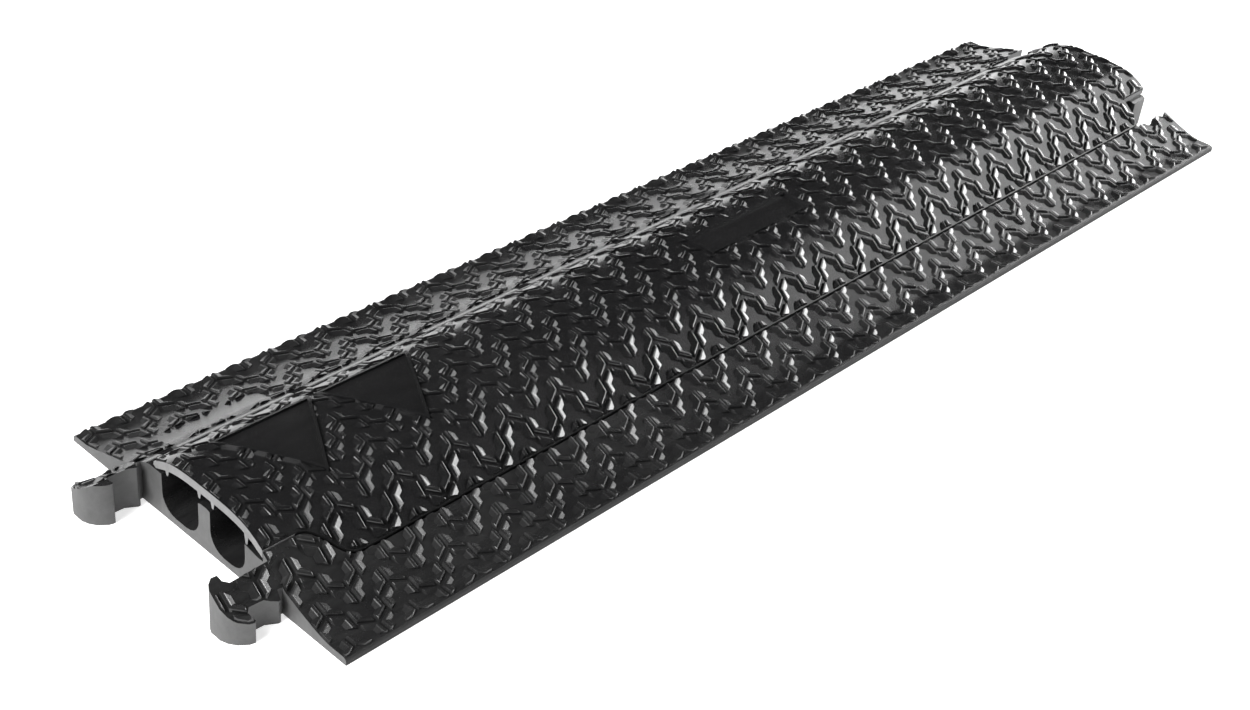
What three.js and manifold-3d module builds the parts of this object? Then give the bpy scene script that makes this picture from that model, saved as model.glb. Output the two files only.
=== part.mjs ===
// A floor cord cover: a low two-channel ramp that shields cables lying across a floor.
// The moulded base carries both ramps, the two U-shaped channels, two hooks at one end and the
// sockets for a neighbour's hooks at the other. A domed lid turns on a rod along its back edge.
//
// Millimetres, +Z up. X runs along the channels, with the hooks at the -X end. The lid opens at
// the front, -Y. The origin is on the floor, halfway between the ramps' ends and sides.
import * as THREE from "three";
import { mergeVertices } from "three/addons/utils/BufferGeometryUtils.js";
import Module from "manifold-3d";

// The base's footprint.
const LENGTH = 1000;
const WIDTH = 267;

// The ramps' outer lip.
const LIP_HEIGHT = 5.2;
const LIP_FACE = 3.8;
const LIP_BEVEL = 2;

// The lid's dome: its crown, how far it drops to the shoulders, and how squarely it bends.
const CROWN_HEIGHT = 46.5;
const CROWN_Y = -5.5;
const SHOULDER_DROP = 10.9;
const SHOULDER_REACH = 52.2;
const DOME_POWER = 3.5;
const LID_BACK_REACH = 51;
const LID_THICKNESS = 6;
const SHOULDER_THICKENING = 8.5;
const BACK_THICKENING = 7;
const BACK_LIP_DROP = 2.6;

// The lid's front flange lies on the front ramp, and ends at a seam.
const FLANGE_SLOPE = 0.8;
const SEAM_Y = -80;
const SEAM_GAP = 0.9;
const FLANGE_EDGE_INSET = 0.4;
const FLANGE_THICKNESS = 5.8;
const FLANGE_CLEARANCE = 0.6;
const FLANGE_NEAR_INSET = 40.5;
const FLANGE_BEND = 17;
const FLANGE_FAR_INSET = 44;
const FLANGE_CORNER = 9;
const SIDE_OVERHANG = 1;

// The lid's ends: flush with the ramps at the hooks, and set back at the sockets.
const LID_NEAR_INSET = 0.4;
const LID_FAR_INSET = 9;
const BLOCK_FAR_INSET = 8;
const CUT_OVERRUN = 18;

// The two channels.
const CHANNEL_FLOOR = 5.2;
const CHANNEL_RADIUS = 13;
const BACK_CHANNEL = { low: 1.5, high: 37.7 };
const FRONT_CHANNEL = { low: -42.8, high: -9.8 };
const DIVIDER_HEIGHT = 33;
const DIVIDER_ROUND = 0.9;
const FRONT_WALL_HEIGHT = 29.6;
const FRONT_WALL_OUTER = -54.5;
const FRONT_WALL_FALL = 2.1;
const WALL_STANDOFF = 2;
const BACK_WALL_HEIGHT = 31.6;

// Ribs under the lid: [y, height of the tip above the floor].
const RIB_WIDTH = 3;
const RIB_ROOT = 5;
const BACK_DIVIDER_RIB_OFFSET = 1;
const FRONT_DIVIDER_RIB_OFFSET = 2.6;
const WALL_RIB_OFFSET = 1.2;
const DIVIDER_RIB_TIP = 36.2;
const BACK_RIB_TIP = 33.4;
const BACK_RIB_INSET = 5.5;
const SEAT_CLEARANCE = 0.4;

// The hinge: a rod along the back wall, held by the base and by the lid's knuckles.
const HINGE_Y = 51;
const HINGE_Z = 26;
const ROD_RADIUS = 2.2;
const ROD_CLEARANCE = 0.35;
const ROD_NEAR_INSET = 10;
const ROD_FAR_INSET = 46;
const KNUCKLE_RADIUS = 5;
const KNUCKLE_WIDTH = 11;
const KNUCKLE_COUNT = 10;
const KNUCKLE_PITCH = LENGTH / KNUCKLE_COUNT;
const KNUCKLE_NEAR_INSET = 18;
const KNUCKLE_CLEARANCE = 0.6;
const POCKET_RADIUS = 11.4;
const POCKET_OPENS_AT = -4;
const POCKET_CLOSES_AT = 158;

// The hooks: a neck and a curved head that faces the front.
const HOOK_LENGTH = 39.8;
const HOOK_HEAD = 13.8;
const NECK_HALF_WIDTH = 6.8;
const HEAD_FRONT = 15.5;
const HEAD_BACK = 12.2;
const FRONT_HOOK_Y = -71;
const HOOK_SPACING = 136;
const HOOK_SLOT = 3.4;
const BACK_HOOK_HEIGHT = 30.2;
const SOCKET_CLEARANCE = 2;

// Raised rims of the two triangular fields and of the name plate, all on the crown.
const RIM_HEIGHT = 2;
const RIM_WIDTH = 2.4;
const RIM_ROOT = 3;
const TRIANGLE_SIDE = 73;
const TRIANGLE_PITCH = 80;
const TRIANGLE_NEAR_INSET = 67;
const TRIANGLE_BASE_Y = 29;
const PLATE_LENGTH = 112;
const PLATE_WIDTH = 24;
const PLATE_X = -6;
const PLATE_Y = -4;

const DOME_STEPS = 22;
const CEILING_STEPS = 16;
const CURVE_STEPS = 16;
const ROUND_SIDES = 20;

const wasm = await Module();
wasm.setup();

// A three.js geometry as a solid that can be joined and cut.
function solidOf(geometry) {
  const bare = geometry.clone();
  bare.deleteAttribute("normal");
  bare.deleteAttribute("uv");
  const merged = mergeVertices(bare, 1e-4);
  const mesh = new wasm.Mesh({
    numProp: 3,
    vertProperties: merged.attributes.position.array,
    triVerts: new Uint32Array(merged.index.array),
  });
  return new wasm.Manifold(mesh);
}

// The reverse: a solid's faces as a three.js geometry.
function geometryOf(solid) {
  const mesh = solid.getMesh();
  const geometry = new THREE.BufferGeometry();
  geometry.setAttribute("position", new THREE.BufferAttribute(mesh.vertProperties, 3));
  geometry.setIndex(new THREE.BufferAttribute(mesh.triVerts, 1));
  geometry.computeVertexNormals();
  return geometry;
}

// A section drawn in [y, z], run along X.
function along(section, x0, x1) {
  const shape = new THREE.Shape(section.map(([y, z]) => new THREE.Vector2(y, z)));
  const geometry = new THREE.ExtrudeGeometry(shape, { depth: x1 - x0, bevelEnabled: false });
  const turn = new THREE.Matrix4().makeBasis(
    new THREE.Vector3(0, 1, 0),
    new THREE.Vector3(0, 0, 1),
    new THREE.Vector3(1, 0, 0),
  );
  geometry.applyMatrix4(turn);
  geometry.translate(x0, 0, 0);
  return solidOf(geometry);
}

// A plan drawn in (x, y), raised from z0 to z1.
function upright(plan, z0, z1) {
  const shape = plan instanceof THREE.Shape ? plan : new THREE.Shape(plan.map(([x, y]) => new THREE.Vector2(x, y)));
  const geometry = new THREE.ExtrudeGeometry(shape, {
    depth: z1 - z0,
    bevelEnabled: false,
    curveSegments: CURVE_STEPS,
  });
  geometry.translate(0, 0, z0);
  return solidOf(geometry);
}

// Points on an arc, from one angle to another, in degrees.
function arc(cx, cy, radius, from, to, steps) {
  return Array.from({ length: steps + 1 }, (_, i) => {
    const angle = THREE.MathUtils.degToRad(from + ((to - from) * i) / steps);
    return [cx + radius * Math.cos(angle), cy + radius * Math.sin(angle)];
  });
}

// Moves each side of a closed outline, drawn anticlockwise, out by a distance.
function offset(points, distance) {
  return points.map((point, i) => {
    const before = points[(i + points.length - 1) % points.length];
    const after = points[(i + 1) % points.length];
    const a = new THREE.Vector2(point[0] - before[0], point[1] - before[1]).normalize();
    const b = new THREE.Vector2(after[0] - point[0], after[1] - point[1]).normalize();
    const normal = new THREE.Vector2(a.y + b.y, -a.x - b.x).normalize();
    const reach = distance / Math.max(0.6, normal.dot(new THREE.Vector2(a.y, -a.x)));
    return [point[0] + normal.x * reach, point[1] + normal.y * reach];
  });
}

const NEAR_X = -LENGTH / 2;
const FAR_X = LENGTH / 2;
const SKY = CROWN_HEIGHT * 1.4;
const FRONT_SHOULDER_Y = CROWN_Y - SHOULDER_REACH;
const SHOULDER_Z = CROWN_HEIGHT - SHOULDER_DROP;
const SEAM_Z = SHOULDER_Z - FLANGE_SLOPE * (FRONT_SHOULDER_Y - SEAM_Y);
const LID_BACK_Y = CROWN_Y + LID_BACK_REACH;
const FLANGE_NEAR_X = NEAR_X + FLANGE_NEAR_INSET;
const FLANGE_FAR_X = FAR_X - FLANGE_FAR_INSET;
const FLANGE_EDGE_Y = SEAM_Y + FLANGE_EDGE_INSET;
const LID_SIDE_Y = FRONT_SHOULDER_Y - SIDE_OVERHANG;

// The dome's height at a distance across.
function domeZ(y) {
  return CROWN_HEIGHT - SHOULDER_DROP * Math.pow(Math.abs(y - CROWN_Y) / SHOULDER_REACH, DOME_POWER);
}

// The top of the front ramp, from the lip up to the seam: a hollow curve, then the steeper flank.
const FRONT_RAMP = [
  [-WIDTH / 2, 0],
  [-WIDTH / 2, LIP_FACE],
  [-WIDTH / 2 + LIP_BEVEL, LIP_HEIGHT],
  [SEAM_Y - 39, LIP_HEIGHT],
  [SEAM_Y - 33, LIP_HEIGHT + 0.9],
  [SEAM_Y - 26, LIP_HEIGHT + 2.8],
  [SEAM_Y - 14, LIP_HEIGHT + 7],
  [SEAM_Y, SEAM_Z],
];

// The back ramp falls in the same hollow curve from the hinge's shelf to the lip.
const BACK_RAMP = [
  [HINGE_Y - 1, HINGE_Z + 6],
  [HINGE_Y + 4.5, HINGE_Z + 4],
  [HINGE_Y + 8, HINGE_Z + 2],
  [HINGE_Y + 15, HINGE_Z - 2.7],
  [HINGE_Y + 27.3, HINGE_Z - 9.3],
  [HINGE_Y + 40, LIP_HEIGHT + 7.8],
  [HINGE_Y + 58, LIP_HEIGHT + 2.4],
  [HINGE_Y + 68, LIP_HEIGHT],
  [WIDTH / 2 - LIP_BEVEL, LIP_HEIGHT],
  [WIDTH / 2, LIP_FACE],
  [WIDTH / 2, 0],
];

// A U-shaped channel, from its top on the back side round to its top on the front side.
function channel({ low, high }, topBack, topFront) {
  const r = CHANNEL_RADIUS;
  const floor = CHANNEL_FLOOR + r;
  return [
    [high, topBack],
    ...arc(high - r, floor, r, 0, -90, 5),
    ...arc(low + r, floor, r, -90, -180, 5),
    [low, topFront],
  ];
}

// How far the flange's underside and the ledge beneath it lie below the outer face.
const LEDGE_DROP = FLANGE_THICKNESS + FLANGE_CLEARANCE;
const frontWallZ = FRONT_WALL_HEIGHT - FRONT_WALL_FALL;
const WALL_OUTER_Y = FRONT_SHOULDER_Y - WALL_STANDOFF;

// The base's section with the ledge under the lid's flange.
const baseSection = [
  ...FRONT_RAMP.slice(0, -1),
  [SEAM_Y - SEAM_GAP, SEAM_Z - FLANGE_SLOPE * 0.2],
  [SEAM_Y - SEAM_GAP, SEAM_Z - LEDGE_DROP - FLANGE_SLOPE * SEAM_GAP],
  [WALL_OUTER_Y, frontWallZ],
  [FRONT_WALL_OUTER, frontWallZ],
  [FRONT_CHANNEL.low, FRONT_WALL_HEIGHT],
  ...channel(FRONT_CHANNEL, FRONT_WALL_HEIGHT, DIVIDER_HEIGHT - DIVIDER_ROUND).reverse().slice(1, -1),
  [FRONT_CHANNEL.high, DIVIDER_HEIGHT - DIVIDER_ROUND],
  [FRONT_CHANNEL.high + 3, DIVIDER_HEIGHT],
  [BACK_CHANNEL.low - 3, DIVIDER_HEIGHT],
  ...channel(BACK_CHANNEL, BACK_WALL_HEIGHT, DIVIDER_HEIGHT - DIVIDER_ROUND).reverse(),
  ...BACK_RAMP,
];

// The near corner of the base stands at full height beside the flange.
const cornerSection = [
  [SEAM_Y - SEAM_GAP - 2, 0],
  [SEAM_Y - SEAM_GAP - 2, SEAM_Z - 1],
  [SEAM_Y, SEAM_Z],
  [LID_SIDE_Y, SHOULDER_Z - FLANGE_SLOPE * SIDE_OVERHANG],
  [LID_SIDE_Y, 0],
];

// The lid's outline from above. It grows by a gap all round, and by more at the two ends, where
// it is used to cut the base.
function lidPlan(gap, overrun) {
  const near = NEAR_X + LID_NEAR_INSET - overrun;
  const far = FAR_X - LID_FAR_INSET + overrun;
  const side = LID_SIDE_Y - gap;
  const edge = FLANGE_EDGE_Y - gap;
  const end = FLANGE_FAR_X + gap;
  const plan = new THREE.Shape();
  plan.moveTo(near, WIDTH);
  plan.lineTo(near, side);
  plan.lineTo(FLANGE_NEAR_X - FLANGE_BEND, side);
  plan.bezierCurveTo(
    FLANGE_NEAR_X - gap, side, FLANGE_NEAR_X - gap, edge, FLANGE_NEAR_X + FLANGE_BEND, edge,
  );
  plan.lineTo(end - FLANGE_CORNER, edge);
  plan.quadraticCurveTo(end, edge, end, edge + FLANGE_CORNER);
  plan.lineTo(end, side);
  plan.lineTo(far, side);
  plan.lineTo(far, WIDTH);
  return plan;
}

// The hook's outline in plan, anticlockwise, with its root inside the base: [out, across].
const hookOutline = [
  [-6, -NECK_HALF_WIDTH - 1.6],
  [0, -NECK_HALF_WIDTH + 0.8],
  [HOOK_SLOT, -NECK_HALF_WIDTH + 0.8],
  [HOOK_SLOT + 1.6, -NECK_HALF_WIDTH - 4.4],
  [HOOK_SLOT + 3.2, -NECK_HALF_WIDTH - 4.6],
  [HOOK_SLOT + 10.5, -NECK_HALF_WIDTH - 0.4],
  [HOOK_LENGTH - HOOK_HEAD - 2, -NECK_HALF_WIDTH],
  [HOOK_LENGTH - HOOK_HEAD, -NECK_HALF_WIDTH - 2],
  [HOOK_LENGTH - HOOK_HEAD - 1, -HEAD_FRONT + 1],
  [HOOK_LENGTH - HOOK_HEAD, -HEAD_FRONT],
  [HOOK_LENGTH - 10.2, -HEAD_FRONT + 0.8],
  [HOOK_LENGTH - 5, -HEAD_FRONT + 4.6],
  [HOOK_LENGTH - 1.7, -HEAD_FRONT + 9.2],
  [HOOK_LENGTH, -HEAD_FRONT + 14],
  [HOOK_LENGTH, HEAD_BACK - 5],
  [HOOK_LENGTH - 1.4, HEAD_BACK - 2],
  [HOOK_LENGTH - 4.5, HEAD_BACK],
  [HOOK_LENGTH - 8.6, HEAD_BACK - 0.2],
  [HOOK_LENGTH - 9.6, HEAD_BACK - 3.4],
  [HOOK_LENGTH - HOOK_HEAD + 0.6, NECK_HALF_WIDTH - 0.2],
  [0, NECK_HALF_WIDTH + 0.4],
  [-6, NECK_HALF_WIDTH + 1.6],
];

// A hook's plan set at one end of the base. Out is -X, so the outline turns clockwise there.
function hookPlan(y, fromX, grow) {
  const outline = hookOutline.map(([out, across]) => [fromX - out, y + across]).reverse();
  return offset(outline, grow);
}

const frontTop = [...FRONT_RAMP.slice(0, -1), [SEAM_Y, SEAM_Z], [FRONT_SHOULDER_Y, SHOULDER_Z], [FRONT_SHOULDER_Y, 0]];
const backTop = [[HINGE_Y - 4, 0], [HINGE_Y - 4, BACK_HOOK_HEIGHT], [HINGE_Y + 4.5, HINGE_Z + 4], ...BACK_RAMP.slice(2)];

function hooks() {
  const reach = [NEAR_X - HOOK_LENGTH - 1, NEAR_X + 6];
  const front = along(frontTop, ...reach).intersect(upright(hookPlan(FRONT_HOOK_Y, NEAR_X, 0), 0, SKY));
  const back = along(backTop, ...reach).intersect(
    upright(hookPlan(FRONT_HOOK_Y + HOOK_SPACING, NEAR_X, 0), 0, SKY),
  );
  return front.add(back);
}

const knuckleXs = Array.from(
  { length: KNUCKLE_COUNT },
  (_, i) => NEAR_X + KNUCKLE_NEAR_INSET + i * KNUCKLE_PITCH,
);

// The space that a knuckle turns in, cut down through the base's back wall.
function pocket(x) {
  const half = KNUCKLE_WIDTH / 2 + KNUCKLE_CLEARANCE;
  const small = KNUCKLE_RADIUS + KNUCKLE_CLEARANCE;
  const section = [
    ...arc(HINGE_Y, HINGE_Z, POCKET_RADIUS, POCKET_OPENS_AT, POCKET_CLOSES_AT, ROUND_SIDES),
    ...arc(HINGE_Y, HINGE_Z, small, POCKET_CLOSES_AT, POCKET_OPENS_AT + 360, ROUND_SIDES),
  ];
  return along(section, x - half, x + half);
}

function makeBase() {
  let base = along(baseSection, NEAR_X, FAR_X);
  const corner = along(cornerSection, NEAR_X, FLANGE_NEAR_X + FLANGE_BEND + 2);
  const cornerCut = upright(lidPlan(SEAM_GAP, CUT_OVERRUN), 0, SKY).intersect(along(overLedge(), NEAR_X, FAR_X));
  base = base.add(corner.subtract(cornerCut));
  for (const x of knuckleXs) base = base.subtract(pocket(x));
  const bore = arc(HINGE_Y, HINGE_Z, ROD_RADIUS + ROD_CLEARANCE, 0, 360 - 360 / ROUND_SIDES, ROUND_SIDES - 1);
  base = base.subtract(along(bore, NEAR_X + ROD_NEAR_INSET - 1, FAR_X - ROD_FAR_INSET + 10));
  for (const y of [FRONT_HOOK_Y, FRONT_HOOK_Y + HOOK_SPACING]) {
    base = base.subtract(upright(hookPlan(y, FAR_X, SOCKET_CLEARANCE), -1, SKY));
  }
  const end = [
    [FAR_X - BLOCK_FAR_INSET, FRONT_HOOK_Y],
    [FAR_X + 1, FRONT_HOOK_Y],
    [FAR_X + 1, FRONT_HOOK_Y + HOOK_SPACING],
    [FAR_X - BLOCK_FAR_INSET, FRONT_HOOK_Y + HOOK_SPACING],
  ];
  base = base.subtract(upright(end, -1, SKY));
  return base.add(hooks());
}

// Everything above the ledge, under the flange and beyond it.
function overLedge() {
  return [
    [SEAM_Y - SEAM_GAP, SEAM_Z - LEDGE_DROP - FLANGE_SLOPE * SEAM_GAP],
    [WALL_OUTER_Y, frontWallZ],
    [0, frontWallZ],
    [0, SKY],
    [SEAM_Y - SEAM_GAP, SKY],
  ];
}

// Distances across, evenly spaced between two ends.
function across(from, to, steps) {
  return Array.from({ length: steps + 1 }, (_, i) => from + ((to - from) * i) / steps);
}

// The lid's outer face, from the back edge over the crown to the flange's edge.
function lidOuter() {
  const dome = across(LID_BACK_Y, FRONT_SHOULDER_Y, DOME_STEPS).map((y) => [y, domeZ(y)]);
  return [...dome, [FLANGE_EDGE_Y, SEAM_Z + FLANGE_SLOPE * FLANGE_EDGE_INSET]];
}

function lidSection() {
  const outer = lidOuter();
  const from = FRONT_SHOULDER_Y + SHOULDER_THICKENING;
  const to = LID_BACK_Y - BACK_THICKENING;
  const inner = across(from, to, CEILING_STEPS).map((y) => [y, domeZ(y) - LID_THICKNESS]);
  return [
    ...outer,
    [FLANGE_EDGE_Y, SEAM_Z - FLANGE_THICKNESS + FLANGE_SLOPE * FLANGE_EDGE_INSET],
    [WALL_OUTER_Y, SHOULDER_Z - FLANGE_SLOPE * WALL_STANDOFF - FLANGE_THICKNESS + FLANGE_CLEARANCE],
    [WALL_OUTER_Y + LID_THICKNESS, SHOULDER_Z - LID_THICKNESS * 0.6],
    ...inner,
    [LID_BACK_Y - LID_THICKNESS * 0.3, domeZ(LID_BACK_Y) - (LID_THICKNESS * 2) / 3],
    [LID_BACK_Y + LID_THICKNESS * 0.1, domeZ(LID_BACK_Y) - BACK_LIP_DROP],
  ];
}

// A rib hanging from the lid's underside at y, down to its tip.
function rib(y, tip) {
  const root = domeZ(y) - LID_THICKNESS / 2;
  const section = [
    [y - RIB_ROOT / 2, root],
    [y - RIB_WIDTH / 4, tip],
    [y + RIB_WIDTH / 4, tip],
    [y + RIB_ROOT / 2, root],
  ];
  return along(section, NEAR_X + LID_NEAR_INSET, FAR_X - LID_FAR_INSET);
}

// A knuckle: a disc round the rod, and the arm that joins it to the lid's back edge.
function knuckle(x) {
  const disc = arc(HINGE_Y, HINGE_Z, KNUCKLE_RADIUS, 0, 360 - 360 / ROUND_SIDES, ROUND_SIDES - 1);
  const at = (r, angle) => arc(HINGE_Y, HINGE_Z, r, angle, angle, 1)[0];
  const root = LID_BACK_Y - KNUCKLE_RADIUS * 0.6;
  const arm = [
    at(KNUCKLE_RADIUS * 0.96, 95),
    [LID_BACK_Y, domeZ(LID_BACK_Y) - KNUCKLE_RADIUS * 0.2],
    [root, domeZ(root) - KNUCKLE_RADIUS * 0.6],
    at(KNUCKLE_RADIUS * 0.96, 150),
  ];
  const span = [x - KNUCKLE_WIDTH / 2, x + KNUCKLE_WIDTH / 2];
  return along(disc, ...span).add(along(arm, ...span));
}

// A closed rim along an outline in plan, standing on the dome.
function rim(outline) {
  const ring = upright(offset(outline, RIM_WIDTH / 2), 0, SKY).subtract(upright(offset(outline, -RIM_WIDTH / 2), -1, SKY + 1));
  const top = lidOuter().slice(0, -1);
  const band = [
    ...top.map(([y, z]) => [y, z + RIM_HEIGHT]),
    ...top.map(([y, z]) => [y, z - RIM_ROOT]).reverse(),
  ];
  return ring.intersect(along(band, NEAR_X, FAR_X));
}

// The fields of the lid that have a rim: two triangles and the name plate.
function rimmedFields() {
  const height = (TRIANGLE_SIDE * Math.sqrt(3)) / 2;
  const firstX = NEAR_X + TRIANGLE_NEAR_INSET;
  const triangles = [firstX, firstX + TRIANGLE_PITCH].map((x) => [
    [x, TRIANGLE_BASE_Y - height],
    [x + TRIANGLE_SIDE / 2, TRIANGLE_BASE_Y],
    [x - TRIANGLE_SIDE / 2, TRIANGLE_BASE_Y],
  ]);
  const plate = [
    [PLATE_X - PLATE_LENGTH / 2, PLATE_Y - PLATE_WIDTH / 2],
    [PLATE_X + PLATE_LENGTH / 2, PLATE_Y - PLATE_WIDTH / 2],
    [PLATE_X + PLATE_LENGTH / 2, PLATE_Y + PLATE_WIDTH / 2],
    [PLATE_X - PLATE_LENGTH / 2, PLATE_Y + PLATE_WIDTH / 2],
  ];
  return [...triangles, plate];
}

function makeLid() {
  let lid = along(lidSection(), NEAR_X + LID_NEAR_INSET, FAR_X - LID_FAR_INSET);
  lid = lid.intersect(upright(lidPlan(0, 0), 0, SKY));
  lid = lid.add(rib(BACK_CHANNEL.high - BACK_RIB_INSET, BACK_RIB_TIP));
  lid = lid.add(rib(BACK_CHANNEL.low - BACK_DIVIDER_RIB_OFFSET, DIVIDER_RIB_TIP));
  lid = lid.add(rib(FRONT_CHANNEL.high - FRONT_DIVIDER_RIB_OFFSET, DIVIDER_RIB_TIP));
  lid = lid.add(rib(FRONT_CHANNEL.low - WALL_RIB_OFFSET, FRONT_WALL_HEIGHT + SEAT_CLEARANCE));
  for (const x of knuckleXs) lid = lid.add(knuckle(x));
  const bore = arc(HINGE_Y, HINGE_Z, ROD_RADIUS + ROD_CLEARANCE, 0, 360 - 360 / ROUND_SIDES, ROUND_SIDES - 1);
  lid = lid.subtract(along(bore, NEAR_X, FAR_X));
  for (const outline of rimmedFields()) lid = lid.add(rim(outline));
  return lid;
}

function makeRod() {
  const section = arc(HINGE_Y, HINGE_Z, ROD_RADIUS, 0, 360 - 360 / ROUND_SIDES, ROUND_SIDES - 1);
  return along(section, NEAR_X + ROD_NEAR_INSET, FAR_X - ROD_FAR_INSET);
}

function named(name, solid, colour, roughness, metalness) {
  const material = new THREE.MeshStandardMaterial({ color: colour, roughness, metalness });
  const mesh = new THREE.Mesh(geometryOf(solid), material);
  mesh.name = name;
  return mesh;
}

const cover = new THREE.Group();
cover.add(named("base", makeBase(), 0x2b2b2c, 0.5, 0));
cover.add(named("lid", makeLid(), 0x232324, 0.42, 0));
cover.add(named("hinge_rod", makeRod(), 0x8a8a86, 0.4, 0));

export default cover;
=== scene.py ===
# %% [markdown]
# A floor cord cover in Blender: the imported CAD model is the frame, and this notebook dresses it.
# The cover is two black mouldings, a base with both ramps and a domed lid, with a low tread on
# every face that feet and wheels meet. We load the frame first. Nothing that we add may stand
# outside it.

# %% Load the frame
import math
import bpy
import bmesh
from mathutils import Matrix, Vector


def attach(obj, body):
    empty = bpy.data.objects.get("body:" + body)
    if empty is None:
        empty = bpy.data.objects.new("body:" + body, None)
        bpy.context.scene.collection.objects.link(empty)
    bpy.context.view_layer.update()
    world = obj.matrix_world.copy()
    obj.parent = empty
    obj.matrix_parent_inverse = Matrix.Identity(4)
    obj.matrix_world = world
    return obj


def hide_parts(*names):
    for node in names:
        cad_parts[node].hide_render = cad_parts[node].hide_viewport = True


MM = 0.001

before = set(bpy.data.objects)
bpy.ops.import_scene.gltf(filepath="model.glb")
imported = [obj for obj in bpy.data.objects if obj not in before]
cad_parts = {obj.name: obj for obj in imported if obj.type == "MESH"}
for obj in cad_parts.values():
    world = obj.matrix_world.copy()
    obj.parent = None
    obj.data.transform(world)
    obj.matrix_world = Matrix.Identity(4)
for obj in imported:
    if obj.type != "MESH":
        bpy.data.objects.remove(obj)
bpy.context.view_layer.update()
print("nodes:", sorted(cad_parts))

# %% [markdown]
# The camera stands where the photographer stood: in front of the hooks' end, looking along the
# cover and down at it. Its place and tilt were worked out from the cover's straight edges.
# The two directions below are the picture's right and the way the camera looks.

# %% Place the camera
CAMERA_PLACE = (-0.9911, -0.7127, 0.7384)
CAMERA_RIGHT = (0.6829, -0.7241, 0.0965)
CAMERA_AHEAD = (0.6376, 0.5264, -0.5625)
SENSOR_WIDTH_MM = 36.0
LENS_MM = 53.47

camera_data = bpy.data.cameras.new("camera")
camera_data.sensor_fit = "HORIZONTAL"
camera_data.sensor_width = SENSOR_WIDTH_MM
camera_data.lens = LENS_MM
camera_data.clip_start = 0.05
camera = bpy.data.objects.new("camera", camera_data)
bpy.context.scene.collection.objects.link(camera)

right = Vector(CAMERA_RIGHT).normalized()
ahead = Vector(CAMERA_AHEAD).normalized()
up = right.cross(ahead).normalized()
turn = Matrix((right, up, -ahead)).transposed().to_4x4()
camera.matrix_world = Matrix.Translation(CAMERA_PLACE) @ turn
bpy.context.scene.camera = camera
print("camera at", tuple(round(v, 3) for v in camera.matrix_world.translation))


# %% [markdown]
# The stage is a plain white floor that glows a little by itself, as a light table does, with
# low bright screens round the far side. The camera never sees the screens. They are there for
# the black mouldings, which show only what they mirror: faces that lean away from us catch a
# screen and turn light, and level faces mirror the dark above the screens. The screen on the
# right is the brightest, because the faces that it lights mirror it at a steep angle. A dimmer
# one above it makes the far stretch of the front ramp grey.

# %% Build the stage
STAGE_WHITE = (0.9, 0.9, 0.9, 1.0)


def stage_sheet(name, corners, glow):
    """A flat white sheet of the stage, from its four corners, that glows by itself."""
    bm = bmesh.new()
    bm.faces.new([bm.verts.new(corner) for corner in corners])
    mesh = bpy.data.meshes.new(name)
    bm.to_mesh(mesh)
    bm.free()
    sheet = bpy.data.objects.new(name, mesh)
    bpy.context.scene.collection.objects.link(sheet)
    material = bpy.data.materials.new(name)
    material.use_nodes = True
    shader = material.node_tree.nodes["Principled BSDF"]
    shader.inputs["Base Color"].default_value = STAGE_WHITE
    shader.inputs["Roughness"].default_value = 0.9
    shader.inputs["Specular IOR Level"].default_value = 0.1
    shader.inputs["Emission Color"].default_value = (1.0, 1.0, 1.0, 1.0)
    shader.inputs["Emission Strength"].default_value = glow
    mesh.materials.append(material)
    return sheet


SCREEN_FEET = [(2.4, -2.8), (2.4, 0.5), (1.9, 1.5), (-2.8, 2.4)]
SCREEN_TOPS = [0.95, 0.7, 0.4, 0.25]
SCREEN_GLOWS = [12.0, 1.2, 0.35]
UPPER_SCREEN = [(2.4, -1.8, 0.95), (2.4, 0.5, 0.95), (2.4, 0.5, 2.15), (2.4, -1.8, 2.15)]
UPPER_GLOW = 2.2
FLOOR_GLOW = 0.7
FLOOR_REACH = 6
FLOOR_CORNERS = [(x * FLOOR_REACH, y * FLOOR_REACH, 0) for x, y in ((-1, -1), (1, -1), (1, 1), (-1, 1))]

floor = stage_sheet("floor", FLOOR_CORNERS, FLOOR_GLOW)
for number in range(len(SCREEN_GLOWS)):
    (x0, y0), (x1, y1) = SCREEN_FEET[number:number + 2]
    top0, top1 = SCREEN_TOPS[number:number + 2]
    corners = [(x0, y0, 0), (x1, y1, 0), (x1, y1, top1), (x0, y0, top0)]
    stage_sheet(f"screen_{number + 1}", corners, SCREEN_GLOWS[number])
stage_sheet("upper_screen", UPPER_SCREEN, UPPER_GLOW)
print("stage:", floor.name, "and four screens")

# %% [markdown]
# Soft studio light. A broad box hangs on the left, over the hooks' end, where no face of the
# cover mirrors it except the thin rounded edges. A lower box beside it lights the ends of the
# mouldings. The world adds a little even light, so that the channels don't go quite black. The
# picture takes the light as it comes, so a white floor stays white.

# %% Hang the lights
def soft_box(name, place, target, size, power):
    """A rectangular area light that faces its target."""
    data = bpy.data.lights.new(name, "AREA")
    data.shape = "RECTANGLE"
    data.size = size[0]
    data.size_y = size[1]
    data.energy = power
    light = bpy.data.objects.new(name, data)
    bpy.context.scene.collection.objects.link(light)
    aim = Vector(target) - Vector(place)
    light.rotation_euler = aim.to_track_quat("-Z", "Y").to_euler()
    light.location = place


WORLD_GLOW = 0.05

soft_box("side_light", place=(-2.6, 0.5, 2.4), target=(-0.1, 0, 0), size=(2.0, 2.0), power=150)
soft_box("end_light", place=(-3.0, 0.1, 1.6), target=(-0.4, 0, 0), size=(2.0, 1.2), power=60)

world = bpy.data.worlds.new("studio")
world.use_nodes = True
world.node_tree.nodes["Background"].inputs["Color"].default_value = (1.0, 1.0, 1.0, 1.0)
world.node_tree.nodes["Background"].inputs["Strength"].default_value = WORLD_GLOW
bpy.context.scene.world = world
bpy.context.scene.view_settings.view_transform = "Standard"


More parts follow.
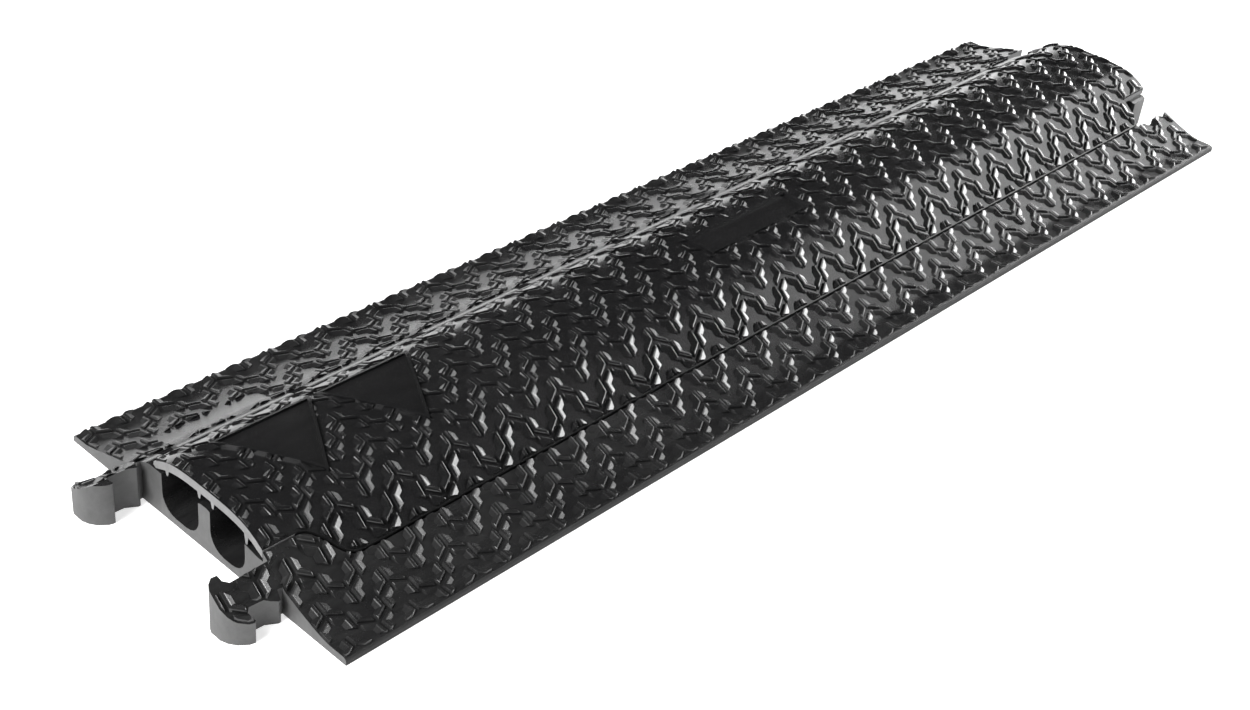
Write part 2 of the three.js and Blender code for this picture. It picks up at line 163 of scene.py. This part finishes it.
# %% [markdown]
# Moulded black rubber is never one even black. Three effects show close up: a fine grain
# from the mould's etched face, broad cloudy patches where the skin is a little duller, and pale
# scuffs and dust from being dragged over floors. Each effect is a small node group that gives a
# value or a colour, so that every finish can use the same group with its own numbers.

# %% Build the shared effects
def new_group(name, inputs, outputs):
    """An empty shader node group with named inputs and outputs."""
    group = bpy.data.node_groups.new(name, "ShaderNodeTree")
    for label, kind, value in inputs:
        socket = group.interface.new_socket(label, in_out="INPUT", socket_type=kind)
        if value is not None:
            socket.default_value = value
    for label, kind in outputs:
        group.interface.new_socket(label, in_out="OUTPUT", socket_type=kind)
    group.nodes.new("NodeGroupInput").location = (-700, 0)
    group.nodes.new("NodeGroupOutput").location = (500, 0)
    return group


def node(tree, kind, place, **settings):
    """A node at a place, with its settings."""
    made = tree.nodes.new(kind)
    made.location = place
    for key, value in settings.items():
        setattr(made, key, value)
    return made


def wire(tree, *pairs):
    """Links each output to its input."""
    for start, end in pairs:
        tree.links.new(start, end)


grain = new_group(
    "mould_grain",
    [("Point", "NodeSocketVector", None), ("Pitch", "NodeSocketFloat", 1100.0)],
    [("Bumps", "NodeSocketFloat")],
)
g_in = grain.nodes["Group Input"]
g_out = grain.nodes["Group Output"]
fine = node(grain, "ShaderNodeTexNoise", (-450, 100))
fine.inputs["Detail"].default_value = 3.0
fine.inputs["Roughness"].default_value = 0.55
swell = node(grain, "ShaderNodeTexNoise", (-450, -150))
swell.inputs["Scale"].default_value = 60.0
swell.inputs["Detail"].default_value = 2.0
sum_up = node(grain, "ShaderNodeMath", (-150, 0), operation="MULTIPLY_ADD")
sum_up.inputs[1].default_value = 0.35
wire(
    grain,
    (g_in.outputs["Point"], fine.inputs["Vector"]),
    (g_in.outputs["Point"], swell.inputs["Vector"]),
    (g_in.outputs["Pitch"], fine.inputs["Scale"]),
    (fine.outputs["Fac"], sum_up.inputs[0]),
    (swell.outputs["Fac"], sum_up.inputs[2]),
    (sum_up.outputs[0], g_out.inputs["Bumps"]),
)
print("group:", grain.name)

# %% Build the clouding and the scuffs
cloud = new_group(
    "skin_clouds",
    [
        ("Point", "NodeSocketVector", None),
        ("Low", "NodeSocketFloat", 0.4),
        ("High", "NodeSocketFloat", 0.5),
    ],
    [("Roughness", "NodeSocketFloat")],
)
c_in = cloud.nodes["Group Input"]
c_out = cloud.nodes["Group Output"]
patch = node(cloud, "ShaderNodeTexNoise", (-450, 0))
patch.inputs["Scale"].default_value = 14.0
patch.inputs["Detail"].default_value = 5.0
patch.inputs["Roughness"].default_value = 0.6
spread = node(cloud, "ShaderNodeMapRange", (-150, 0))
spread.inputs["From Min"].default_value = 0.3
spread.inputs["From Max"].default_value = 0.7
wire(
    cloud,
    (c_in.outputs["Point"], patch.inputs["Vector"]),
    (patch.outputs["Fac"], spread.inputs["Value"]),
    (c_in.outputs["Low"], spread.inputs["To Min"]),
    (c_in.outputs["High"], spread.inputs["To Max"]),
    (spread.outputs["Result"], c_out.inputs["Roughness"]),
)

scuff = new_group(
    "floor_scuffs",
    [
        ("Point", "NodeSocketVector", None),
        ("Clean", "NodeSocketColor", (0.02, 0.02, 0.02, 1.0)),
        ("Scuffed", "NodeSocketColor", (0.06, 0.06, 0.06, 1.0)),
        ("Amount", "NodeSocketFloat", 0.5),
    ],
    [("Color", "NodeSocketColor")],
)
s_in = scuff.nodes["Group Input"]
s_out = scuff.nodes["Group Output"]
stretch = node(scuff, "ShaderNodeMapping", (-520, 150))
stretch.inputs["Scale"].default_value = (30.0, 140.0, 90.0)
streak = node(scuff, "ShaderNodeTexNoise", (-330, 150))
streak.inputs["Scale"].default_value = 1.0
streak.inputs["Detail"].default_value = 6.0
streak.inputs["Roughness"].default_value = 0.7
blotch = node(scuff, "ShaderNodeTexNoise", (-330, -150))
blotch.inputs["Scale"].default_value = 9.0
blotch.inputs["Detail"].default_value = 3.0
both = node(scuff, "ShaderNodeMath", (-120, 0), operation="MULTIPLY")
ramp = node(scuff, "ShaderNodeMapRange", (40, 0))
ramp.inputs["From Min"].default_value = 0.2
ramp.inputs["From Max"].default_value = 0.42
amount = node(scuff, "ShaderNodeMath", (200, 0), operation="MULTIPLY")
blend = node(scuff, "ShaderNodeMix", (350, 0), data_type="RGBA")
wire(
    scuff,
    (s_in.outputs["Point"], stretch.inputs["Vector"]),
    (stretch.outputs["Vector"], streak.inputs["Vector"]),
    (s_in.outputs["Point"], blotch.inputs["Vector"]),
    (streak.outputs["Fac"], both.inputs[0]),
    (blotch.outputs["Fac"], both.inputs[1]),
    (both.outputs[0], ramp.inputs["Value"]),
    (ramp.outputs["Result"], amount.inputs[0]),
    (s_in.outputs["Amount"], amount.inputs[1]),
    (amount.outputs[0], blend.inputs["Factor"]),
    (s_in.outputs["Clean"], blend.inputs["A"]),
    (s_in.outputs["Scuffed"], blend.inputs["B"]),
    (blend.outputs["Result"], s_out.inputs["Color"]),
)
print("groups:", cloud.name, scuff.name)


# %% [markdown]
# The finishes: the base's moulded skin, the lid's slightly glossier skin, the paler upright faces
# at the hooks' end, the lid's rough sawn ends, a nearly black painted shade for the walls and
# rounds of the seam, where the narrow gap lies in shadow, the dull lips on the floor and the grey
# rod of the hinge. One helper wires the three groups to a Principled shader, and each finish
# states its own colours, gloss and grain.

# %% Mix the finishes
def finish_of(name, clean, scuffed, gloss, amount, pitch, depth, mirror=0.5):
    """A moulded finish: its two colours, its roughness range, its share of scuffs and its grain.

    The grain's depth is in metres, and mirror is the shader's specular level.
    """
    material = bpy.data.materials.new(name)
    material.use_nodes = True
    tree = material.node_tree
    shader = tree.nodes["Principled BSDF"]
    point = node(tree, "ShaderNodeTexCoord", (-900, 0))
    colour = node(tree, "ShaderNodeGroup", (-500, 250), node_tree=scuff)
    colour.inputs["Clean"].default_value = (*clean, 1.0)
    colour.inputs["Scuffed"].default_value = (*scuffed, 1.0)
    colour.inputs["Amount"].default_value = amount
    dull = node(tree, "ShaderNodeGroup", (-500, 0), node_tree=cloud)
    dull.inputs["Low"].default_value = gloss[0]
    dull.inputs["High"].default_value = gloss[1]
    bumps = node(tree, "ShaderNodeGroup", (-500, -250), node_tree=grain)
    bumps.inputs["Pitch"].default_value = pitch
    relief = node(tree, "ShaderNodeBump", (-250, -250))
    relief.inputs["Strength"].default_value = 0.6
    relief.inputs["Distance"].default_value = depth
    wire(
        tree,
        (point.outputs["Object"], colour.inputs["Point"]),
        (point.outputs["Object"], dull.inputs["Point"]),
        (point.outputs["Object"], bumps.inputs["Point"]),
        (colour.outputs["Color"], shader.inputs["Base Color"]),
        (dull.outputs["Roughness"], shader.inputs["Roughness"]),
        (bumps.outputs["Bumps"], relief.inputs["Height"]),
        (relief.outputs["Normal"], shader.inputs["Normal"]),
    )
    shader.inputs["Specular IOR Level"].default_value = mirror
    return material


base_skin = finish_of(
    "base_skin", clean=(0.011, 0.011, 0.0113), scuffed=(0.03, 0.03, 0.03),
    gloss=(0.22, 0.32), amount=0.7, pitch=1100, depth=0.0001,
)
lid_skin = finish_of(
    "lid_skin", clean=(0.009, 0.009, 0.0093), scuffed=(0.02, 0.02, 0.02),
    gloss=(0.18, 0.26), amount=0.5, pitch=1100, depth=0.00008,
)
side_face = finish_of(
    "side_face", clean=(0.055, 0.055, 0.055), scuffed=(0.1, 0.1, 0.1),
    gloss=(0.5, 0.65), amount=0.6, pitch=900, depth=0.0002,
)
sawn_face = finish_of(
    "sawn_face", clean=(0.14, 0.14, 0.14), scuffed=(0.24, 0.24, 0.24),
    gloss=(0.6, 0.75), amount=0.8, pitch=900, depth=0.0003,
)
# Painted shade: the seam's walls and rounds are coloured nearly black with a weak mirror, standing in
# for the shadow in the narrow gap between the lid's flange and the ramp.
painted_seam_shade = finish_of(
    "painted_seam_shade", clean=(0.004, 0.004, 0.004), scuffed=(0.006, 0.006, 0.006),
    gloss=(0.65, 0.75), amount=0.3, pitch=900, depth=0.0001, mirror=0.08,
)
lip_face = finish_of(
    "lip_face", clean=(0.014, 0.014, 0.014), scuffed=(0.03, 0.03, 0.03),
    gloss=(0.5, 0.6), amount=0.5, pitch=900, depth=0.0002, mirror=0.2,
)
rod_skin = finish_of(
    "rod_skin", clean=(0.3, 0.3, 0.29), scuffed=(0.4, 0.4, 0.38),
    gloss=(0.4, 0.5), amount=0.3, pitch=1500, depth=0.00005,
)
finishes = [base_skin, lid_skin, side_face, sawn_face, painted_seam_shade, lip_face, rod_skin]
print("finishes:", [material.name for material in finishes])


# %% [markdown]
# The CAD solids have the right shape but knife-sharp edges, and a real moulding has none: every
# corner is a little round, and that thin round is what catches the light. We take a copy of
# each node, merge its loose triangles, dissolve the flat ones into whole faces and bevel the
# sharp outer edges: first the two long lips on the floor, which are rounder, then the edges of
# the seam beside the lid's flange, which are rounder still, then the rest. Each face gets the
# finish of its place, the seam's rounds and upright walls a nearly black painted shade, and the
# copy then replaces the node.

# %% Round off the mouldings
WELD = 0.002 * MM
FLAT = math.radians(0.25)
SHARP = math.radians(28)
CREASE = math.radians(38)
EDGE_ROUND = 0.7 * MM
LIP_ROUND = 1.1 * MM
LIP_Y = 130 * MM
LIP_FACE_Y = 132.3 * MM
SEAM_ROUND = 2.2 * MM
FLANGE_ROUND = 1.2 * MM
END_SLOT = 1
SEAM_SHADE_SLOT = 2
LIP_SLOT = 3
SEAM_EDGE_X = (-478 * MM, 500 * MM)
SEAM_WALL_X = (-478 * MM, 470 * MM)
SEAM_Y = (-83 * MM, -57.5 * MM)
SEAM_EDGE_LOW = 12 * MM
SEAM_WALL_LOW = 10 * MM
END_X = 450 * MM
UPRIGHT = 0.05
STEEP = 0.3


def at_end(face):
    """Whether a face is one of the upright faces at the hooks' end, or faces out at the other end."""
    xs = [vert.co.x for vert in face.verts]
    outward = max(xs) < -END_X or (min(xs) > END_X and face.normal.x > STEEP)
    return abs(face.normal.z) < UPRIGHT and outward


def within(point, x_range, low):
    """Whether a point lies in the strip of the seam, between two x and above a height."""
    return x_range[0] < point.x < x_range[1] and SEAM_Y[0] < point.y < SEAM_Y[1] and point.z > low


def in_seam_shade(face):
    """Whether a face is one of the upright walls of the seam between flange and front ramp, which get
    the painted seam shade.
    """
    return abs(face.normal.z) < STEEP and within(face.calc_center_median(), SEAM_WALL_X, SEAM_WALL_LOW)


def on_lip_wall(face):
    """Whether a face belongs to the upright wall of a long lip or to the round above it."""
    return abs(face.normal.x) < 0.1 and abs(face.calc_center_median().y) > LIP_FACE_Y


def on_lip(edge):
    """Whether an edge runs along the top of one of the two lips that lie on the floor."""
    outside = all(abs(vert.co.y) > LIP_Y and vert.co.z > MM for vert in edge.verts)
    return outside and edge.calc_length() > END_X


def on_seam(edge):
    """Whether an edge lies along the seam between the lid's flange and the front ramp."""
    return all(within(vert.co, SEAM_EDGE_X, SEAM_EDGE_LOW) for vert in edge.verts)


def sharp_edges(bm):
    """The outer edges that are sharp enough to be rounded."""
    inner = [e for e in bm.edges if len(e.link_faces) == 2]
    return [e for e in inner if e.is_convex and e.calc_face_angle(0) > SHARP]


def round_edges(bm, edges, offset, segments, slot=-1):
    """Bevels edges to a round of a few segments. A slot gives the new faces their own finish."""
    bmesh.ops.bevel(
        bm, geom=edges, affect="EDGES", offset=offset, segments=segments, profile=0.5, material=slot,
        clamp_overlap=True,
    )


def rounded_copy(node_name, name, skin, ends, seam_round):
    """A copy of a CAD node with its sharp outer edges rounded, each place's own finish and painted
    shade in the seam.
    """
    bm = bmesh.new()
    bm.from_mesh(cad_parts[node_name].data)
    bmesh.ops.remove_doubles(bm, verts=bm.verts, dist=WELD)
    bmesh.ops.dissolve_limit(bm, angle_limit=FLAT, verts=bm.verts, edges=bm.edges)
    lips = [e for e in sharp_edges(bm) if on_lip(e)]
    round_edges(bm, lips, LIP_ROUND, 3)
    seam = [e for e in sharp_edges(bm) if on_seam(e)]
    # The seam's rounds take the slot of the nearly black painted shade.
    round_edges(bm, seam, seam_round, 3, SEAM_SHADE_SLOT)
    edges = [e for e in sharp_edges(bm) if not on_seam(e)]
    round_edges(bm, edges, EDGE_ROUND, 2)
    mesh = bpy.data.meshes.new(name)
    for face in bm.faces:
        face.smooth = True
        # The seam's upright walls take the painted shade as well.
        if in_seam_shade(face):
            face.material_index = SEAM_SHADE_SLOT
        elif on_lip_wall(face):
            face.material_index = LIP_SLOT
        elif face.material_index != SEAM_SHADE_SLOT:
            face.material_index = END_SLOT if at_end(face) else 0
    for edge in bm.edges:
        if len(edge.link_faces) == 2:
            edge.smooth = edge.calc_face_angle(0) < CREASE
    bm.to_mesh(mesh)
    bm.free()
    piece = bpy.data.objects.new(name, mesh)
    bpy.context.scene.collection.objects.link(piece)
    for material in (skin, ends, painted_seam_shade, lip_face):
        mesh.materials.append(material)
    weighted = piece.modifiers.new("even_normals", "WEIGHTED_NORMAL")
    weighted.keep_sharp = True
    print(name, "faces:", len(mesh.polygons), "rounded edges on lips, seam and elsewhere:")
    print("  ", len(lips), len(seam), len(edges))
    return piece


base_moulding = rounded_copy("base", "base_moulding", base_skin, side_face, SEAM_ROUND)
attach(base_moulding, "base")
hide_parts("base")

lid_moulding = rounded_copy("lid", "lid_moulding", lid_skin, sawn_face, FLANGE_ROUND)
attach(lid_moulding, "lid")
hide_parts("lid")

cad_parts["hinge_rod"].data.materials.clear()
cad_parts["hinge_rod"].data.materials.append(rod_skin)

# %% [markdown]
# The tread is a field of low elbows in pairs, with a narrow black groove between the two. Each
# elbow is steep towards the groove and along the outside of its arm, and slopes gently down
# on its inner side. There is only one shape: the others are its mirror images, with the arm
# on the left or the right, and up or down. We shape one elbow from a flat outline: extrude it,
# sink the inner corners to the skin, cut the ridge level and round its crest.

# %% Shape one elbow of the tread
GROOVE = 1.15 * MM
SLOPE = 5.6 * MM
ARM_SLOPE = 4.3 * MM
TREAD_HEIGHT = 1.6 * MM
RIDGE_HEIGHT = 2.5 * MM
CREST_ROUND = 0.6 * MM
ARM_REACH = 9.0 * MM
ARM_FALL = math.tan(math.radians(29))
STEM_TOP = 4.5 * MM
ELBOW = -4.3 * MM
DRAFT = 0.1 * MM
ROOT = 0.5 * MM
INNER_HEIGHT = 0.06 * MM
NEAR = 0.1 * MM


def elbow_block():
    """The elbow whose stem stands left of the groove and whose arm falls to the lower left.

    It is first shaped as a sharp ridge and then cut level, which leaves a flat along the crest.
    """
    bm = bmesh.new()
    drop = ARM_SLOPE / math.cos(math.atan(ARM_FALL))
    corners = [
        (-GROOVE, STEM_TOP),
        (-GROOVE - SLOPE, STEM_TOP - SLOPE * ARM_FALL),
        (-GROOVE - SLOPE, ELBOW - SLOPE * ARM_FALL + drop),
        (-GROOVE - ARM_REACH, ELBOW - ARM_REACH * ARM_FALL + drop),
        (-GROOVE - ARM_REACH, ELBOW - ARM_REACH * ARM_FALL),
        (-GROOVE, ELBOW),
    ]
    outline = bm.faces.new([bm.verts.new((x, y, -ROOT)) for x, y in corners])
    made = bmesh.ops.extrude_face_region(bm, geom=[outline])
    top = [v for v in made["geom"] if isinstance(v, bmesh.types.BMVert)]
    for vert in top:
        vert.co.z = RIDGE_HEIGHT
    left = [v for v in top if v.co.x < -GROOVE - 0.5 * SLOPE]
    inner = [v for v in left if v.co.y > ELBOW + (v.co.x + GROOVE) * ARM_FALL + NEAR]
    for vert in inner:
        vert.co.z = INNER_HEIGHT
    crest = [v for v in top if v not in inner]
    for vert in crest:
        vert.co.x -= DRAFT if vert.co.x > -GROOVE - NEAR else 0.0
        vert.co.y += DRAFT if vert.co.y < 0 else 0.0
    bmesh.ops.connect_verts_concave(bm, faces=bm.faces)
    whole = list(bm.verts) + list(bm.edges) + list(bm.faces)
    cut = bmesh.ops.bisect_plane(
        bm, geom=whole, plane_co=(0, 0, TREAD_HEIGHT), plane_no=(0, 0, 1), clear_outer=True,
    )
    rim = [e for e in cut["geom_cut"] if isinstance(e, bmesh.types.BMEdge)]
    bmesh.ops.holes_fill(bm, edges=rim, sides=0)
    bmesh.ops.recalc_face_normals(bm, faces=bm.faces)
    round_edges(bm, rim, CREST_ROUND, 2)
    return bm


sample_block = elbow_block()
print("elbow: faces", len(sample_block.faces))
sample_block.free()


# %% [markdown]
# The elbows are laid out in rows, with four kinds of pair that take turns. The rows are then
# draped over the skin: every point keeps its place seen from above and its height over the
# skin. So we need the skin's height at any distance across, the same formula as in the CAD.

# %% Find the skin's height
CROWN = (-5.5 * MM, 46.5 * MM)
CROWN_HALF_WIDTH = 52.2 * MM
CROWN_DROP = 10.9 * MM
CROWN_POWER = 3.5
FRONT_FLANK = [
    (-133.5, 5.2), (-119, 5.2), (-113, 6.1), (-106, 8.0), (-94, 12.2), (-80, 18.4), (-57.7, 35.6),
]
BACK_FLANK = [
    (50, 32), (55.5, 30), (59, 28), (66, 23.3), (78.3, 16.7), (91, 13), (109, 7.6), (119, 5.2),
    (133.5, 5.2),
]


def along_line(points, y):
    """The height of a broken line at y, all in millimetres."""
    for (y0, z0), (y1, z1) in zip(points, points[1:]):
        if y <= y1:
            return z0 + (z1 - z0) * (y - y0) / (y1 - y0)
    return points[-1][1]


def skin_height(y):
    """The height of the cover's outer skin at a distance across, in metres."""
    if y < FRONT_FLANK[-1][0] * MM:
        return along_line(FRONT_FLANK, y / MM) * MM
    if y > BACK_FLANK[0][0] * MM:
        return along_line(BACK_FLANK, y / MM) * MM
    return CROWN[1] - CROWN_DROP * (abs(y - CROWN[0]) / CROWN_HALF_WIDTH) ** CROWN_POWER


print("skin height at the seam, mm:", round(skin_height(-80 * MM) / MM, 1))

# %% [markdown]
# Each pair is written as two elbows: the side of the groove, the way its arm points, and how far
# it is moved across, in millimetres. In one row two of the four pairs take turns, half a pitch
# apart. The next row has the other two, a quarter of the pitch further along, so that the
# figures interlock.

# %% Lay out the tread and drape it
PAIRS = {
    0: [(-1, -1, 0.0), (1, -1, 0.0)],
    1: [(-1, 1, -3.0), (1, -1, 0.0)],
    2: [(-1, 1, -3.0), (1, 1, -3.0)],
    3: [(-1, -1, 0.0), (1, 1, -3.0)],
}
ROWS = range(-20, 21)
STEPS = range(-60, 120)
SLOPE_STEP = 0.2 * MM


def drape(point):
    """Moves a point from the flat layout straight up onto the skin. Heights count square to it."""
    rise = skin_height(point.y + SLOPE_STEP) - skin_height(point.y - SLOPE_STEP)
    slope = rise / (2 * SLOPE_STEP)
    return Vector((point.x, point.y, skin_height(point.y) + point.z * math.hypot(1, slope)))


def tread_field(first, pitch, row_pitch, area):
    """All the elbows whose groove lies in an area (x0, x1, y0, y1), joined in one bmesh.

    The layout is counted from the first groove, and the pitches are in metres.
    """
    field = bmesh.new()
    block = elbow_block()
    block.verts.index_update()
    verts = [v.co.copy() for v in block.verts]
    faces = [[v.index for v in f.verts] for f in block.faces]
    block.free()
    x0, x1, y0, y1 = area
    count = 0
    for row in ROWS:
        y = first[1] + row * row_pitch
        if y < y0 or y > y1:
            continue
        for step in STEPS:
            if (step - row) % 2:
                continue
            x = first[0] + step * pitch / len(PAIRS)
            if x < x0 or x > x1:
                continue
            for side, arm, shift in PAIRS[step % len(PAIRS)]:
                made = []
                for co in verts:
                    place = Vector((-side * co.x, -arm * co.y, co.z))
                    made.append(field.verts.new(drape(place + Vector((x, y + shift * MM, 0)))))
                flip = side * arm < 0
                for loop in faces:
                    ring = [made[i] for i in loop]
                    field.faces.new(ring[::-1] if flip else ring)
                count += 1
    print("elbows:", count)
    return field


# %% [markdown]
# The tread doesn't run everywhere. It stops short of the edges, and leaves the two triangular
# fields, the name plate and one field on the back ramp bare. We raise each zone's outline to a
# prism and let a Boolean modifier keep only what stands inside it, or outside it.

# %% Cut the tread to its zones
PRISM_LOW = -0.01
PRISM_HIGH = 0.08
UNDERSIDE_HIGH = 0.01 * MM
EDGE_MARGIN = 1.0


def raised(name, bm):
    """Raises the flat outline in a bmesh to a closed prism through the whole cover."""
    for vert in bm.verts:
        vert.co.z = PRISM_LOW
    made = bmesh.ops.extrude_face_region(bm, geom=list(bm.faces))
    up_verts = [v for v in made["geom"] if isinstance(v, bmesh.types.BMVert)]
    bmesh.ops.translate(bm, verts=up_verts, vec=(0, 0, PRISM_HIGH - PRISM_LOW))
    bmesh.ops.recalc_face_normals(bm, faces=bm.faces)
    mesh = bpy.data.meshes.new(name)
    bm.to_mesh(mesh)
    bm.free()
    made_object = bpy.data.objects.new(name, mesh)
    bpy.context.scene.collection.objects.link(made_object)
    return made_object


def prism(name, outline, corner=0.0):
    """An upright prism on a plan outline in millimetres, with rounded corners where asked."""
    bm = bmesh.new()
    bm.faces.new([bm.verts.new((x * MM, y * MM, PRISM_LOW)) for x, y in outline])
    if corner:
        bmesh.ops.bevel(
            bm, geom=list(bm.verts), affect="VERTICES", offset=corner * MM, segments=6, profile=0.5,
            material=-1,
        )
    return raised(name, bm)


def footprint(name):
    """An upright prism on the base's own underside, hooks and sockets included, less a margin."""
    bm = bmesh.new()
    bm.from_mesh(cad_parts["base"].data)
    bmesh.ops.remove_doubles(bm, verts=bm.verts, dist=WELD)
    above = [f for f in bm.faces if max(vert.co.z for vert in f.verts) > UNDERSIDE_HIGH]
    bmesh.ops.delete(bm, geom=above, context="FACES")
    bmesh.ops.dissolve_limit(bm, angle_limit=math.radians(1), verts=bm.verts, edges=bm.edges)
    for face in bm.faces:
        face.normal_flip()
    edge_faces = bmesh.ops.inset_region(
        bm, faces=list(bm.faces), thickness=EDGE_MARGIN * MM, use_boundary=True, use_even_offset=True,
    )["faces"]
    bmesh.ops.delete(bm, geom=edge_faces, context="FACES")
    print("footprint faces:", len(bm.faces), "corners:", len(bm.verts))
    return raised(name, bm)


def cut_field(name, field, keep, leave_out):
    """The tread field inside the first prisms and outside the others, as a finished piece."""
    mesh = bpy.data.meshes.new(name)
    bmesh.ops.recalc_face_normals(field, faces=field.faces)
    field.to_mesh(mesh)
    field.free()
    piece = bpy.data.objects.new(name, mesh)
    bpy.context.scene.collection.objects.link(piece)
    cuts = [(tool, "INTERSECT") for tool in keep] + [(tool, "DIFFERENCE") for tool in leave_out]
    for tool, operation in cuts:
        cutter = piece.modifiers.new(tool.name, "BOOLEAN")
        cutter.object = tool
        cutter.operation = operation
        cutter.solver = "MANIFOLD"
    bpy.context.view_layer.update()
    graph = bpy.context.evaluated_depsgraph_get()
    cut = bpy.data.meshes.new_from_object(piece.evaluated_get(graph))
    piece.modifiers.clear()
    piece.data = cut
    cut.name = name
    cut.materials.clear()
    bpy.data.meshes.remove(mesh)
    for tool in keep + leave_out:
        bpy.data.objects.remove(tool)
    triangles = sum(len(p.vertices) - 2 for p in cut.polygons)
    print(name, "faces:", len(cut.polygons), "triangles:", triangles)
    return piece


def s_curve(p0, p1, p2, p3, steps=10):
    """Points on a cubic curve between two ends, with two handles."""
    points = []
    for i in range(steps + 1):
        t = i / steps
        a, b, c, d = (1 - t) ** 3, 3 * t * (1 - t) ** 2, 3 * t * t * (1 - t), t ** 3
        x = a * p0[0] + b * p1[0] + c * p2[0] + d * p3[0]
        y = a * p0[1] + b * p1[1] + c * p2[1] + d * p3[1]
        points.append((x, y))
    return points


def triangle(x):
    """The outline of a triangular field with its rim, pointing to the front, in millimetres."""
    half = TRIANGLE_SIDE / 2
    tip = TRIANGLE_BACK - TRIANGLE_SIDE * math.sqrt(3) / 2
    return [(x - half, TRIANGLE_BACK), (x, tip), (x + half, TRIANGLE_BACK)]


# %% Cut the lid's tread
TRIANGLE_SIDE = 79.5
TRIANGLE_BACK = 31.2
ROW_PITCH = 13.37 * MM
LID_PITCH = 46.2 * MM
BASE_PITCH = 46.5 * MM

lid_zone = [
    (-499, -58.3), (-499, 44.5), (490, 44.5), (490, -58.5), (455, -58.5), (455, -72), (448, -78.6),
]
lid_zone += s_curve((-442.5, -78.6), (-458.3, -78.6), (-458.3, -57.8), (-476.5, -57.8))
lid_field = tread_field((-260 * MM, -52.2 * MM), LID_PITCH, ROW_PITCH, (-0.515, 0.505, -0.09, 0.055))
lid_tread = cut_field(
    "lid_tread",
    lid_field,
    [prism("lid_zone", lid_zone)],
    [
        prism("first_triangle", triangle(-433)),
        prism("second_triangle", triangle(-353)),
        prism("plate_zone", [(-64, -18.5), (52, -18.5), (52, 10.5), (-64, 10.5)], corner=3),
    ],
)
lid_tread.data.materials.append(lid_skin)
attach(lid_tread, "lid")

# %% [markdown]
# The base's own tread covers both ramps and the hooks. In front it starts at the seam below the
# lid's flange and fills the corner beside it. Behind it starts far enough from the hinge to leave
# room for the lid when that is open.

# %% Cut the base's tread
front_zone = [(-545, -131.6), (499, -131.6), (499, -81.5)]
front_zone += s_curve((-442, -81.5), (-461, -81.5), (-461, -60.8), (-477, -60.8)) + [(-545, -60.8)]
front_area = (-0.56, 0.515, -0.14, -0.055)
front_field = tread_field((-350.7 * MM, -98 * MM), BASE_PITCH, ROW_PITCH, front_area)
front_tread = cut_field(
    "front_tread", front_field, [prism("front_zone", front_zone), footprint("front_footprint")], [],
)
front_tread.data.materials.append(base_skin)
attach(front_tread, "base")

back_zone = [(-545, 56), (-502, 56), (-502, 64), (499, 64), (499, 131.6), (-545, 131.6)]
back_area = (-0.56, 0.515, 0.05, 0.14)
back_field = tread_field((-350.7 * MM, 75.8 * MM), BASE_PITCH, ROW_PITCH, back_area)
back_tread = cut_field(
    "back_tread",
    back_field,
    [prism("back_zone", back_zone), footprint("back_footprint")],
    [prism("back_bare", [(-472, 68), (-392, 68), (-392, 91), (-472, 91)], corner=3)],
)
back_tread.data.materials.append(base_skin)
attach(back_tread, "base")
